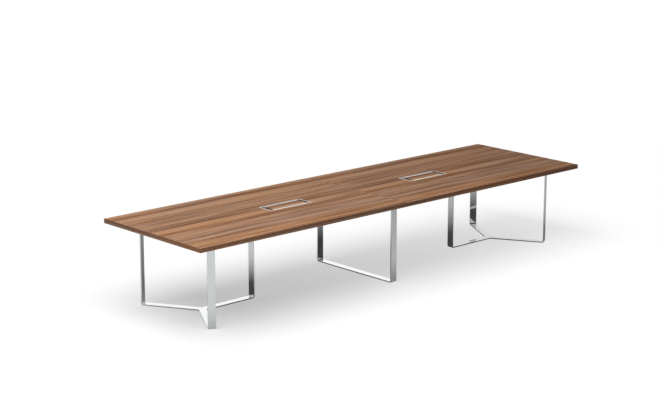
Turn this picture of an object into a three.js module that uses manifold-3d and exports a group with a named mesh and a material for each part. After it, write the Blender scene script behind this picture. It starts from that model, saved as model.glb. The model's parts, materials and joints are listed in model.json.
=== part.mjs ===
// A conference table: a walnut-faced top in two halves, carried by two three-legged star bases
// and a centre U frame of chromed flat bar, with a flip-lid cable box set into each half.
// Millimetres, +Z up. The origin is on the floor under the middle of the top.
// +X runs along the table, +Y across it, towards the side where the lids are hinged.

import * as THREE from "three";
import { mergeVertices } from "three/addons/utils/BufferGeometryUtils.js";
import Module from "manifold-3d";

const wasm = await Module();
wasm.setup();

// Top
const TABLE_HEIGHT = 740;
const TOP_LENGTH = 4450;
const TOP_WIDTH = 1270;
const TOP_THICKNESS = 38;
const SEAM_GAP = 0.6; // between the two halves
const BAND_THICKNESS = 2; // edge bands glued round each half
const TOP_ARRIS = 1; // rounding along the edges of the bands
const TOP_CORNER_RADIUS = 3;
const DOWEL_RADIUS = 5;
const DOWEL_LENGTH = 60;
const DOWEL_PITCH = 300; // from dowel to dowel along the seam
const DOWEL_CLEARANCE = 0.15;

// Flat-bar bases
const BAR_WIDTH = 65;
const BAR_THICKNESS = 10;
const BAR_ARRIS = 1;
const BEND_RADIUS = 8; // inside of the bend at the floor
const ARM_LENGTH = 525; // from the hub to the middle of the upright's thickness
const ARM_SPREAD = Math.PI / 3; // outer arms from the table's long axis; the inner arm lies on it
const MITRE_GAP = 0.3; // weld seam between two arms at the hub
const OUTER_LEG_INSET = 242.5; // from the table's end to the outer uprights
const CENTRE_LEG_INSET = 164; // from the table's long edge to the centre uprights
const GLIDE_RADIUS = 20;
const GLIDE_HEIGHT = 3;
const GLIDE_EASING = 1; // bevel round the lower edge
const GLIDE_BACKSET = 45; // from the upright to the glide under the arm

// Steel plates under the top
const PLATE_THICKNESS = 5;
const PLATE_LENGTH = 110; // along the arm
const PLATE_OVERHANG = 12; // past the outer face of the upright
const LEG_PLATE_WIDTH = 120; // across the arm
const CENTRE_PLATE_WIDTH = 200; // reaches over the seam
const JOINING_PLATE_LENGTH = 200; // across the seam
const JOINING_PLATE_WIDTH = 90;
const PLATE_CORNER_RADIUS = 6;
const SCREW_HOLE_RADIUS = 3;
const SCREW_EDGE_DISTANCE = 14;

// Cable boxes
const BOX_OFFSET = 817; // from the seam to the middle of the box
const BOX_LENGTH = 450; // outside of the frame's flange
const BOX_WIDTH = 164;
const FLANGE_WIDTH = 10;
const FLANGE_THICKNESS = 2;
const FLANGE_CORNER_RADIUS = 2;
const FRAME_WALL = 2.5;
const FRAME_SETBACK = 2; // from the frame's lower edge to the underside of the top
const FRAME_CLEARANCE = 0.4; // round the frame in the top
const END_SLOT = 28; // cable slot left at each end of the lid
const LID_FRONT_GAP = 1;
const LID_OPENING = (100 * Math.PI) / 180; // the lid leans back a little past upright
const LID_BACK_CLEARANCE = 0.2742; // from the open lid to the edge of the frame behind it
const LID_BOARD_THICKNESS = 8;
const RAIL_WIDTH = 10; // aluminium seen along each long side of the lid
const TONGUE_REACH = 8; // of the rails under the board
const TONGUE_THICKNESS = 2;
const GLUE_GAP = 0.2;
const HINGE_RADIUS = 9; // rounded back of the hinge rail about the rod
const HINGE_FOOT_ANGLE = Math.PI / 4; // where the rounded back ends, below the rod
const ROD_RADIUS = 3;
const ROD_CLEARANCE = 0.1;
const ROD_END_GAP = 0.3; // from the rod's end to the outside of the frame
const LEDGE_REACH = 6; // lip in the frame under the lid's front edge
const LEDGE_THICKNESS = 2;
const REST_STRIP_WIDTH = 4;
const REST_STRIP_THICKNESS = 1.5;
const REST_STRIP_BACKSET = 10; // from the lid's end to the strip's end
const REST_GAP = 0.3; // from the strip to the closed lid

// Cable trays
const TRAY_MARGIN = 2; // the tray is this much wider than the cut-out above it, all round
const TRAY_DEPTH = 90;
const TRAY_SHEET = 1.5;
const TRAY_FLANGE = 18;
const CABLE_EXIT_WIDTH = 70;
const CABLE_EXIT_HEIGHT = 40;
const CABLE_EXIT_SILL = 25; // above the tray's floor

// Socket strips
const STRIP_LENGTH = 300;
const STRIP_WIDTH = 62;
const STRIP_HEIGHT = 44;
const STRIP_EDGE_RADIUS = 4;
const SOCKET_COUNT = 3;
const SOCKET_PITCH = 82;
const SOCKET_RADIUS = 21;
const SOCKET_HEIGHT = 14;
const SOCKET_GAP = 0.3;
const RECESS_RADIUS = 18.5;
const RECESS_DEPTH = 10;
const PIN_HOLE_RADIUS = 2.6;
const PIN_SPACING = 19;
const INLET_WIDTH = 24;
const INLET_HEIGHT = 16;
const INLET_DEPTH = 16;

const ROUND_SIDES = 24; // facets of a full circle
const SMALL_ROUND_SIDES = 12; // facets of a dowel or a pin hole
const BEND_STEPS = 4; // half the facets of a quarter bend
const HOLE_STEPS = 4; // half the facets of a screw hole
const CORNER_STEPS = 2; // half the facets of a small rounded corner
const ARRIS_STEPS = 2; // facets of a rounded edge
const MERGE_DISTANCE = 1e-4; // vertices this near are one
const CUT = 5; // how far a cutting shape runs past the face it cuts

// Heights and places that follow from the sizes above
const UNDERSIDE = TABLE_HEIGHT - TOP_THICKNESS;
const UPRIGHT_TOP = UNDERSIDE - PLATE_THICKNESS;
const HUB_X = TOP_LENGTH / 2 - OUTER_LEG_INSET - ARM_LENGTH * Math.cos(ARM_SPREAD);
const CENTRE_LEG_Y = TOP_WIDTH / 2 - CENTRE_LEG_INSET;
const OPEN_LENGTH = BOX_LENGTH - 2 * FLANGE_WIDTH;
const OPEN_WIDTH = BOX_WIDTH - 2 * FLANGE_WIDTH;
const CUTOUT_LENGTH = OPEN_LENGTH + 2 * (FRAME_WALL + FRAME_CLEARANCE);
const CUTOUT_WIDTH = OPEN_WIDTH + 2 * (FRAME_WALL + FRAME_CLEARANCE);
const LID_LENGTH = OPEN_LENGTH - 2 * END_SLOT;
const LID_FRONT = -OPEN_WIDTH / 2 + LID_FRONT_GAP;
// The open lid's face touches the circle about the rod and leans over the edge behind it.
const LID_HINGE_GAP = HINGE_RADIUS * (Math.tan(LID_OPENING / 2) - 1) + LID_BACK_CLEARANCE;
const HINGE_Y = OPEN_WIDTH / 2 - LID_HINGE_GAP - HINGE_RADIUS;
const HINGE_Z = TABLE_HEIGHT - HINGE_RADIUS;
const BOARD_BOTTOM = TABLE_HEIGHT - LID_BOARD_THICKNESS;
const LID_BOTTOM = BOARD_BOTTOM - GLUE_GAP - TONGUE_THICKNESS;
const LEDGE_TOP = LID_BOTTOM - REST_GAP - REST_STRIP_THICKNESS;
const TRAY_BOTTOM = UNDERSIDE - TRAY_DEPTH;
const TRAY_FLOOR = TRAY_BOTTOM + TRAY_SHEET;
const STRIP_TOP = TRAY_FLOOR + STRIP_HEIGHT;

const FINISHES = {
  walnut: { color: 0x9a775c, roughness: 0.45, metalness: 0 },
  walnutEdge: { color: 0x5b4030, roughness: 0.5, metalness: 0 },
  chrome: { color: 0xd8dadb, roughness: 0.08, metalness: 1 },
  aluminium: { color: 0xc9c6c2, roughness: 0.3, metalness: 1 },
  steel: { color: 0x8e9194, roughness: 0.35, metalness: 1 },
  blackSteel: { color: 0x26272a, roughness: 0.55, metalness: 0.3 },
  blackPlastic: { color: 0x1d1e20, roughness: 0.5, metalness: 0 },
  greyPlastic: { color: 0x3a3c40, roughness: 0.45, metalness: 0 },
  rubber: { color: 0x161616, roughness: 0.8, metalness: 0 },
  beech: { color: 0xcaa57a, roughness: 0.7, metalness: 0 },
};

// A closed geometry as a solid that can be joined and cut.
function solid(geometry) {
  const bare = geometry.clone();
  bare.deleteAttribute("normal");
  bare.deleteAttribute("uv");
  const merged = mergeVertices(bare, MERGE_DISTANCE);
  const mesh = new wasm.Mesh({
    numProp: 3,
    vertProperties: merged.attributes.position.array,
    triVerts: new Uint32Array(merged.index.array),
  });
  return new wasm.Manifold(mesh);
}

// The geometry of a solid, with flat shading.
function geometryOf(made) {
  const { vertProperties, triVerts } = made.getMesh();
  const indexed = new THREE.BufferGeometry();
  indexed.setAttribute("position", new THREE.BufferAttribute(vertProperties, 3));
  indexed.setIndex(new THREE.BufferAttribute(triVerts, 1));
  const geometry = indexed.toNonIndexed();
  geometry.computeVertexNormals();
  return geometry;
}

// A named piece in its finish.
function addPiece(parent, name, shape, finish) {
  const geometry = shape.isBufferGeometry ? shape : geometryOf(shape);
  const mesh = new THREE.Mesh(geometry, new THREE.MeshStandardMaterial(FINISHES[finish]));
  mesh.name = name;
  parent.add(mesh);
  return mesh;
}

// A block between two corners, whichever is the lower.
function block(x0, x1, y0, y1, z0, z1) {
  const box = new THREE.BoxGeometry(Math.abs(x1 - x0), Math.abs(y1 - y0), Math.abs(z1 - z0));
  return box.translate((x0 + x1) / 2, (y0 + y1) / 2, (z0 + z1) / 2);
}

// A block that stands on its middle: full length along X and width along Y.
function centredBlock(length, width, z0, z1) {
  return block(-length / 2, length / 2, -width / 2, width / 2, z0, z1);
}

// A round bar along Z.
function roundBar(radius, z0, z1, sides = ROUND_SIDES) {
  const bar = new THREE.CylinderGeometry(radius, radius, z1 - z0, sides);
  return bar.rotateX(Math.PI / 2).translate(0, 0, (z0 + z1) / 2);
}

// A round bar along X, centred.
function crossBar(radius, length, sides = ROUND_SIDES) {
  return new THREE.CylinderGeometry(radius, radius, length, sides).rotateZ(Math.PI / 2);
}

// The outline of a rectangle with round corners.
function roundedRectangle(x0, x1, y0, y1, radius) {
  const outline = new THREE.Shape();
  outline.moveTo(x0 + radius, y0);
  outline.absarc(x1 - radius, y0 + radius, radius, -Math.PI / 2, 0, false);
  outline.absarc(x1 - radius, y1 - radius, radius, 0, Math.PI / 2, false);
  outline.absarc(x0 + radius, y1 - radius, radius, Math.PI / 2, Math.PI, false);
  outline.absarc(x0 + radius, y0 + radius, radius, Math.PI, Math.PI * 1.5, false);
  return outline;
}

// A flat slab with round corners, centred in X and Y.
function slab(length, width, radius, z0, z1) {
  const halfLength = length / 2;
  const halfWidth = width / 2;
  const outline = roundedRectangle(-halfLength, halfLength, -halfWidth, halfWidth, radius);
  const options = { depth: z1 - z0, bevelEnabled: false, curveSegments: CORNER_STEPS };
  return new THREE.ExtrudeGeometry(outline, options).translate(0, 0, z0);
}

// A profile drawn in a plane, drawn out to a width with its edges rounded by the arris.
// The width is centred on the plane.
function drawnOut(profile, width, arris = 0, curveSegments = CORNER_STEPS) {
  const options = {
    depth: width - 2 * arris,
    bevelEnabled: arris > 0,
    bevelThickness: arris,
    bevelSize: arris,
    bevelOffset: -arris,
    bevelSegments: ARRIS_STEPS,
    curveSegments,
  };
  return new THREE.ExtrudeGeometry(profile, options).translate(0, 0, arris - width / 2);
}

// A profile drawn with X outwards and Y upwards, standing upright across Y.
function standAcross(geometry) {
  return geometry.rotateX(Math.PI / 2);
}

// A profile drawn with X to the table's +Y and Y upwards, running along the table.
function runAlong(geometry) {
  return geometry.rotateX(Math.PI / 2).rotateZ(Math.PI / 2);
}

// One half of the top. Core and bands are cut from one blank, so that they share its outline.
function addTopHalf(table, side, label) {
  const end = (side * TOP_LENGTH) / 2;
  const seam = (side * SEAM_GAP) / 2;
  const coreEnd = end - side * BAND_THICKNESS;
  const coreSeam = seam + side * BAND_THICKNESS;
  const edge = TOP_WIDTH / 2;
  const coreEdge = edge - BAND_THICKNESS;
  const left = Math.min(end, seam);
  const right = Math.max(end, seam);
  const outline = roundedRectangle(left, right, -edge, edge, TOP_CORNER_RADIUS);
  const middle = UNDERSIDE + TOP_THICKNESS / 2;
  const blank = solid(drawnOut(outline, TOP_THICKNESS, TOP_ARRIS).translate(0, 0, middle));
  const low = UNDERSIDE - CUT;
  const high = TABLE_HEIGHT + CUT;
  const piece = (x0, x1, y0, y1) => blank.intersect(solid(block(x0, x1, y0, y1, low, high)));

  const boxCentre = side * BOX_OFFSET;
  const cutout = centredBlock(CUTOUT_LENGTH, CUTOUT_WIDTH, low, high);
  const rebate = slab(
    BOX_LENGTH + 2 * FRAME_CLEARANCE,
    BOX_WIDTH + 2 * FRAME_CLEARANCE,
    FLANGE_CORNER_RADIUS + FRAME_CLEARANCE,
    TABLE_HEIGHT - FLANGE_THICKNESS,
    high,
  );
  let core = piece(coreSeam, coreEnd, -coreEdge, coreEdge);
  core = core.subtract(solid(cutout.translate(boxCentre, 0, 0)));
  core = core.subtract(solid(rebate.translate(boxCentre, 0, 0)));
  let seamBand = piece(seam, coreSeam, -coreEdge, coreEdge);
  for (const place of [-1, 0, 1]) {
    const radius = DOWEL_RADIUS + DOWEL_CLEARANCE;
    const length = DOWEL_LENGTH + 2 * DOWEL_CLEARANCE;
    const bore = crossBar(radius, length, SMALL_ROUND_SIDES);
    const boreSolid = solid(bore.translate(0, place * DOWEL_PITCH, middle));
    core = core.subtract(boreSolid);
    seamBand = seamBand.subtract(boreSolid);
  }
  addPiece(table, `${label}_top_panel`, core, "walnut");
  addPiece(table, `${label}_seam_band`, seamBand, "walnutEdge");
  addPiece(table, `${label}_end_band`, piece(coreEnd, end, -coreEdge, coreEdge), "walnutEdge");
  addPiece(table, `${label}_front_band`, piece(seam, end, -edge, -coreEdge), "walnutEdge");
  addPiece(table, `${label}_rear_band`, piece(seam, end, coreEdge, edge), "walnutEdge");
}

// Dowels across the seam, at half the top's thickness.
function addDowels(table) {
  const labels = ["front", "middle", "rear"];
  labels.forEach((label, index) => {
    const dowel = crossBar(DOWEL_RADIUS, DOWEL_LENGTH, SMALL_ROUND_SIDES);
    dowel.translate(0, (index - 1) * DOWEL_PITCH, UNDERSIDE + TOP_THICKNESS / 2);
    addPiece(table, `seam_dowel_${label}`, dowel, "beech");
  });
}

// A screw plate with a hole near each corner, lying under the top.
function screwPlate(length, width) {
  const x = length / 2;
  const y = width / 2;
  const outline = roundedRectangle(-x, x, -y, y, PLATE_CORNER_RADIUS);
  for (const alongSign of [-1, 1]) {
    for (const acrossSign of [-1, 1]) {
      const hole = new THREE.Path();
      const along = alongSign * (x - SCREW_EDGE_DISTANCE);
      const across = acrossSign * (y - SCREW_EDGE_DISTANCE);
      hole.absarc(along, across, SCREW_HOLE_RADIUS, 0, Math.PI * 2, true);
      outline.holes.push(hole);
    }
  }
  const options = { depth: PLATE_THICKNESS, bevelEnabled: false, curveSegments: HOLE_STEPS };
  return new THREE.ExtrudeGeometry(outline, options).translate(0, 0, UPRIGHT_TOP);
}

// A leg's plate, in the leg's own frame: X runs outwards along the arm, to the upright.
function legPlate(uprightMiddle, width) {
  const outer = uprightMiddle + BAR_THICKNESS / 2 + PLATE_OVERHANG;
  return screwPlate(PLATE_LENGTH, width).translate(outer - PLATE_LENGTH / 2, 0, 0);
}

// A round glide with its lower edge eased.
function glide() {
  const profile = [
    new THREE.Vector2(0, 0),
    new THREE.Vector2(GLIDE_RADIUS - GLIDE_EASING, 0),
    new THREE.Vector2(GLIDE_RADIUS, GLIDE_EASING),
    new THREE.Vector2(GLIDE_RADIUS, GLIDE_HEIGHT),
    new THREE.Vector2(0, GLIDE_HEIGHT),
  ];
  return new THREE.LatheGeometry(profile, ROUND_SIDES).rotateX(Math.PI / 2);
}

// One leg of a star base: flat bar from the hub along the floor, bent up to the top.
function starLeg() {
  const outer = ARM_LENGTH + BAR_THICKNESS / 2;
  const bend = BEND_RADIUS + BAR_THICKNESS;
  const centre = new THREE.Vector2(outer - bend, GLIDE_HEIGHT + bend);
  const profile = new THREE.Shape();
  profile.moveTo(0, GLIDE_HEIGHT);
  profile.lineTo(centre.x, GLIDE_HEIGHT);
  profile.absarc(centre.x, centre.y, bend, -Math.PI / 2, 0, false);
  profile.lineTo(outer, UPRIGHT_TOP);
  profile.lineTo(outer - BAR_THICKNESS, UPRIGHT_TOP);
  profile.lineTo(outer - BAR_THICKNESS, centre.y);
  profile.absarc(centre.x, centre.y, BEND_RADIUS, 0, -Math.PI / 2, true);
  profile.lineTo(0, GLIDE_HEIGHT + BAR_THICKNESS);
  const bar = solid(standAcross(drawnOut(profile, BAR_WIDTH, BAR_ARRIS, BEND_STEPS)));

  // The end at the hub is mitred to a point, so that three arms close the full turn.
  const tip = MITRE_GAP / 2 / Math.sin(ARM_SPREAD);
  const shoulder = tip + BAR_WIDTH / Math.tan(ARM_SPREAD);
  const wedge = new THREE.Shape();
  wedge.moveTo(tip, 0);
  wedge.lineTo(shoulder, -BAR_WIDTH);
  wedge.lineTo(outer + CUT, -BAR_WIDTH);
  wedge.lineTo(outer + CUT, BAR_WIDTH);
  wedge.lineTo(shoulder, BAR_WIDTH);
  const depth = TABLE_HEIGHT + CUT;
  const keep = new THREE.ExtrudeGeometry(wedge, { depth, bevelEnabled: false });
  return bar.intersect(solid(keep));
}

// A star base: three legs from a hub on the table's centre line.
function addStarBase(table, side, label) {
  const outwards = side * Math.cos(ARM_SPREAD);
  const sideways = Math.sin(ARM_SPREAD);
  const headings = {
    inner: side < 0 ? 0 : Math.PI,
    front: Math.atan2(-sideways, outwards),
    rear: Math.atan2(sideways, outwards),
  };
  for (const [place, heading] of Object.entries(headings)) {
    const arm = new THREE.Group();
    arm.position.x = side * HUB_X;
    arm.rotation.z = heading;
    table.add(arm);
    const name = `${label}_${place}`;
    addPiece(arm, `${name}_leg`, starLeg(), "chrome");
    addPiece(arm, `${name}_leg_plate`, legPlate(ARM_LENGTH, LEG_PLATE_WIDTH), "blackSteel");
    const pad = addPiece(arm, `${name}_glide`, glide(), "blackPlastic");
    pad.position.x = ARM_LENGTH - GLIDE_BACKSET;
  }
}

// The centre U frame: one flat bar bent up at both ends.
function centreFrame() {
  const outer = CENTRE_LEG_Y + BAR_THICKNESS / 2;
  const inner = outer - BAR_THICKNESS;
  const bend = BEND_RADIUS + BAR_THICKNESS;
  const reach = outer - bend;
  const height = GLIDE_HEIGHT + bend;
  const quarter = Math.PI / 2;
  const profile = new THREE.Shape();
  profile.moveTo(-outer, UPRIGHT_TOP);
  profile.lineTo(-outer, height);
  profile.absarc(-reach, height, bend, 2 * quarter, 3 * quarter, false);
  profile.lineTo(reach, GLIDE_HEIGHT);
  profile.absarc(reach, height, bend, -quarter, 0, false);
  profile.lineTo(outer, UPRIGHT_TOP);
  profile.lineTo(inner, UPRIGHT_TOP);
  profile.lineTo(inner, height);
  profile.absarc(reach, height, BEND_RADIUS, 0, -quarter, true);
  profile.lineTo(-reach, GLIDE_HEIGHT + BAR_THICKNESS);
  profile.absarc(-reach, height, BEND_RADIUS, -quarter, -2 * quarter, true);
  profile.lineTo(-inner, UPRIGHT_TOP);
  return runAlong(drawnOut(profile, BAR_WIDTH, BAR_ARRIS, BEND_STEPS));
}

// The centre frame with its plates and glides, and the joining plate in the middle of the seam.
function addCentreBase(table) {
  addPiece(table, "centre_frame", centreFrame(), "chrome");
  for (const [place, turn] of [["front", -1], ["rear", 1]]) {
    const leg = new THREE.Group();
    leg.rotation.z = (turn * Math.PI) / 2;
    table.add(leg);
    const plate = legPlate(CENTRE_LEG_Y, CENTRE_PLATE_WIDTH);
    addPiece(leg, `centre_${place}_leg_plate`, plate, "blackSteel");
    const pad = addPiece(leg, `centre_${place}_glide`, glide(), "blackPlastic");
    pad.position.x = CENTRE_LEG_Y - GLIDE_BACKSET;
  }
  const joining = screwPlate(JOINING_PLATE_LENGTH, JOINING_PLATE_WIDTH);
  addPiece(table, "seam_joining_plate", joining, "blackSteel");
}

// The frame of a cable box: a flush flange on a ring of walls, a lip for the lid's front edge,
// and a hole through each end wall for the hinge rod.
function boxFrame() {
  const low = UNDERSIDE + FRAME_SETBACK;
  const wallLength = OPEN_LENGTH + 2 * FRAME_WALL;
  const wallWidth = OPEN_WIDTH + 2 * FRAME_WALL;
  const flangeLow = TABLE_HEIGHT - FLANGE_THICKNESS;
  const flange = slab(BOX_LENGTH, BOX_WIDTH, FLANGE_CORNER_RADIUS, flangeLow, TABLE_HEIGHT);
  const walls = centredBlock(wallLength, wallWidth, low, TABLE_HEIGHT);
  const opening = centredBlock(OPEN_LENGTH, OPEN_WIDTH, low - CUT, TABLE_HEIGHT + CUT);
  const front = -OPEN_WIDTH / 2;
  const ledge = block(
    -LID_LENGTH / 2,
    LID_LENGTH / 2,
    front - FRAME_WALL / 2,
    front + LEDGE_REACH,
    LEDGE_TOP - LEDGE_THICKNESS,
    LEDGE_TOP,
  );
  const rodHole = crossBar(ROD_RADIUS + ROD_CLEARANCE, wallLength + 2 * CUT);
  rodHole.translate(0, HINGE_Y, HINGE_Z);
  const ring = solid(flange).add(solid(walls)).subtract(solid(opening));
  return ring.add(solid(ledge)).subtract(solid(rodHole));
}

// The hinge rail: its back is rounded about the rod, and a tongue carries the board's rear edge.
// The profile is drawn about the rod.
function hingeRail() {
  const top = HINGE_RADIUS;
  const tongueTop = BOARD_BOTTOM - GLUE_GAP - HINGE_Z;
  const tongueLow = tongueTop - TONGUE_THICKNESS;
  const foot = -HINGE_RADIUS * Math.sin(HINGE_FOOT_ANGLE);
  const profile = new THREE.Shape();
  profile.moveTo(0, top);
  profile.absarc(0, 0, HINGE_RADIUS, Math.PI / 2, -HINGE_FOOT_ANGLE, true);
  profile.lineTo(-RAIL_WIDTH / 2, foot);
  profile.lineTo(-RAIL_WIDTH, tongueLow);
  profile.lineTo(-RAIL_WIDTH - TONGUE_REACH, tongueLow);
  profile.lineTo(-RAIL_WIDTH - TONGUE_REACH, tongueTop);
  profile.lineTo(-RAIL_WIDTH, tongueTop);
  profile.lineTo(-RAIL_WIDTH, top);
  const rail = solid(runAlong(drawnOut(profile, LID_LENGTH, 0, BEND_STEPS)));
  const bore = crossBar(ROD_RADIUS + ROD_CLEARANCE, LID_LENGTH + 2 * CUT);
  return geometryOf(rail.subtract(solid(bore))).translate(0, HINGE_Y, HINGE_Z);
}

// The front rail: an angle that carries the board's front edge.
function frontRail() {
  const inner = LID_FRONT + RAIL_WIDTH;
  const tongueTop = BOARD_BOTTOM - GLUE_GAP;
  const profile = new THREE.Shape();
  profile.moveTo(LID_FRONT, LID_BOTTOM);
  profile.lineTo(inner + TONGUE_REACH, LID_BOTTOM);
  profile.lineTo(inner + TONGUE_REACH, tongueTop);
  profile.lineTo(inner, tongueTop);
  profile.lineTo(inner, TABLE_HEIGHT);
  profile.lineTo(LID_FRONT, TABLE_HEIGHT);
  return runAlong(drawnOut(profile, LID_LENGTH));
}

// The lid's board, between the two rails.
function lidBoard() {
  const front = LID_FRONT + RAIL_WIDTH + GLUE_GAP;
  const rear = HINGE_Y - RAIL_WIDTH - GLUE_GAP;
  return block(-LID_LENGTH / 2, LID_LENGTH / 2, front, rear, BOARD_BOTTOM, TABLE_HEIGHT);
}

// The strip of rubber on the frame's lip, on which the closed lid rests.
function restStrip() {
  const half = LID_LENGTH / 2 - REST_STRIP_BACKSET;
  const rear = -OPEN_WIDTH / 2 + LEDGE_REACH;
  const front = rear - REST_STRIP_WIDTH;
  return block(-half, half, front, rear, LEDGE_TOP, LEDGE_TOP + REST_STRIP_THICKNESS);
}

// The folded steel tray under the cut-out, with a cable exit in each end wall.
function cableTray() {
  const innerLength = CUTOUT_LENGTH + 2 * TRAY_MARGIN;
  const innerWidth = CUTOUT_WIDTH + 2 * TRAY_MARGIN;
  const length = innerLength + 2 * TRAY_SHEET;
  const width = innerWidth + 2 * TRAY_SHEET;
  const walls = centredBlock(length, width, TRAY_BOTTOM, UNDERSIDE);
  const flangeLow = UNDERSIDE - TRAY_SHEET;
  const flange = centredBlock(
    length + 2 * TRAY_FLANGE, width + 2 * TRAY_FLANGE, flangeLow, UNDERSIDE);
  const inside = centredBlock(innerLength, innerWidth, TRAY_FLOOR, UNDERSIDE + CUT);
  const sill = TRAY_FLOOR + CABLE_EXIT_SILL;
  const exit = centredBlock(length + 2 * CUT, CABLE_EXIT_WIDTH, sill, sill + CABLE_EXIT_HEIGHT);
  return solid(walls).add(solid(flange)).subtract(solid(inside)).subtract(solid(exit));
}

// Where the sockets sit along the strip.
function socketPlaces() {
  return Array.from({ length: SOCKET_COUNT }, (_, i) => (i - (SOCKET_COUNT - 1) / 2) * SOCKET_PITCH);
}

// The housing of a socket strip: a pocket for each socket, and the supply inlet in its outer end.
function stripHousing(side) {
  const half = STRIP_WIDTH / 2;
  const profile = roundedRectangle(-half, half, TRAY_FLOOR, STRIP_TOP, STRIP_EDGE_RADIUS);
  let housing = solid(runAlong(drawnOut(profile, STRIP_LENGTH)));
  for (const x of socketPlaces()) {
    const pocket = roundBar(SOCKET_RADIUS + SOCKET_GAP, STRIP_TOP - SOCKET_HEIGHT, STRIP_TOP + CUT);
    housing = housing.subtract(solid(pocket.translate(x, 0, 0)));
  }
  const end = (side * STRIP_LENGTH) / 2;
  const middle = TRAY_FLOOR + STRIP_HEIGHT / 2;
  const inlet = block(
    end + side * CUT,
    end - side * INLET_DEPTH,
    -INLET_WIDTH / 2,
    INLET_WIDTH / 2,
    middle - INLET_HEIGHT / 2,
    middle + INLET_HEIGHT / 2,
  );
  return housing.subtract(solid(inlet));
}

// A socket insert: a round cup with two pin holes in its floor.
function socketInsert() {
  const low = STRIP_TOP - SOCKET_HEIGHT;
  let insert = solid(roundBar(SOCKET_RADIUS, low, STRIP_TOP));
  insert = insert.subtract(solid(roundBar(RECESS_RADIUS, STRIP_TOP - RECESS_DEPTH, STRIP_TOP + CUT)));
  for (const sign of [-1, 1]) {
    const pin = roundBar(PIN_HOLE_RADIUS, low - CUT, STRIP_TOP, SMALL_ROUND_SIDES);
    insert = insert.subtract(solid(pin.translate(0, (sign * PIN_SPACING) / 2, 0)));
  }
  return insert;
}

// A cable box: frame, rod and lid in the top, tray and socket strip below it.
function addCableBox(table, side, label) {
  const box = new THREE.Group();
  box.position.x = side * BOX_OFFSET;
  table.add(box);
  addPiece(box, `${label}_box_frame`, boxFrame(), "aluminium");
  const rodLength = OPEN_LENGTH + 2 * (FRAME_WALL - ROD_END_GAP);
  const rod = crossBar(ROD_RADIUS, rodLength).translate(0, HINGE_Y, HINGE_Z);
  addPiece(box, `${label}_hinge_rod`, rod, "steel");
  addPiece(box, `${label}_rest_strip`, restStrip(), "rubber");
  addPiece(box, `${label}_lid_board`, lidBoard(), "walnut");
  addPiece(box, `${label}_lid_front_rail`, frontRail(), "aluminium");
  addPiece(box, `${label}_lid_hinge_rail`, hingeRail(), "aluminium");
  addPiece(box, `${label}_cable_tray`, cableTray(), "blackSteel");
  addPiece(box, `${label}_socket_strip`, stripHousing(side), "blackPlastic");
  socketPlaces().forEach((x, index) => {
    const socket = addPiece(box, `${label}_socket_${index + 1}`, socketInsert(), "greyPlastic");
    socket.position.x = x;
  });
}

const table = new THREE.Group();
for (const [side, label] of [[-1, "left"], [1, "right"]]) {
  addTopHalf(table, side, label);
  addStarBase(table, side, label);
  addCableBox(table, side, label);
}
addDowels(table);
addCentreBase(table);

export default table;
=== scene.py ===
# %% [markdown]
# # A conference table in walnut and chrome
# The table's construction comes from a CAD frame: two half tops, two three-legged bases, a centre
# frame and two flip-lid cable boxes, all at their real size. This lesson dresses that frame. It adds
# what the CAD leaves out, which is finish, eased edges and small fittings, and it moves nothing.
#
# The frame loads in metres, with +Z up and the origin on the floor under the middle of the top.
# Its box is noted straight away.

# %% Load the frame
import json
import math

import bmesh
import bpy
from mathutils import Matrix, Vector

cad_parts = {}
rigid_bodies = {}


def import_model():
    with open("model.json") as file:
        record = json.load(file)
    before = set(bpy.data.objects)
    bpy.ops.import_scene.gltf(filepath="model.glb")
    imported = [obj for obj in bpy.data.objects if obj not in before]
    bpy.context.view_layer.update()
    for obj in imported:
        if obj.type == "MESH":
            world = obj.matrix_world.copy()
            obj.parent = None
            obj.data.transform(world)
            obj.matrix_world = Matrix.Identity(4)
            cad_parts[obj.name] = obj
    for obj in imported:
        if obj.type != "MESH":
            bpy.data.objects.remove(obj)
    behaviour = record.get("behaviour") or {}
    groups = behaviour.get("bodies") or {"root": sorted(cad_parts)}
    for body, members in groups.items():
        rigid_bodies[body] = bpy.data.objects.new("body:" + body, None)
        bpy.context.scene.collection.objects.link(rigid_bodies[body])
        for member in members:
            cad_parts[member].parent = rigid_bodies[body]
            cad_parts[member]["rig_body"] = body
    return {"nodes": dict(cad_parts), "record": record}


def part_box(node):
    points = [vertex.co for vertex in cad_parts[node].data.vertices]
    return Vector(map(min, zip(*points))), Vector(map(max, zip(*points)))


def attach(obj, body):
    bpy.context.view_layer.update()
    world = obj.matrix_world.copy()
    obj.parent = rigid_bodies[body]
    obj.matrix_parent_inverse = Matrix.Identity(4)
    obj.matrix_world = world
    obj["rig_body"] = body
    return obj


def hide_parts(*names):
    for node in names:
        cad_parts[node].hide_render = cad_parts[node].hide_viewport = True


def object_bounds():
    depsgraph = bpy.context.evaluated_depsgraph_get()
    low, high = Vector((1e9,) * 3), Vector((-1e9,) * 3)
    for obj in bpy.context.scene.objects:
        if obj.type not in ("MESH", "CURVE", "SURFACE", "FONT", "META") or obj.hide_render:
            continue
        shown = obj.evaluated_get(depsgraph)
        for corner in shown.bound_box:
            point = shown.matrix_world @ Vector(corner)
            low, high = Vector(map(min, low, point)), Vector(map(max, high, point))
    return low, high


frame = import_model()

MM = 0.001
cad_low, cad_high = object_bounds()
scene = bpy.context.scene
slot_of = {part["node"]: part["material_slot"] for part in frame["record"]["subparts"]}
print("frame:", len(frame["nodes"]), "nodes,", [round(s, 3) for s in cad_high - cad_low], "m")

# %% [markdown]
# ## Camera
# The picture was taken from in front of the table's left end, well above the top and from far away
# through a long lens, so that the far end looks nearly as large as the near one. A short lens close by
# would show the same corners with much stronger perspective. The place and the two angles were found
# by matching the corners of the top and the feet of the legs.

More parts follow.
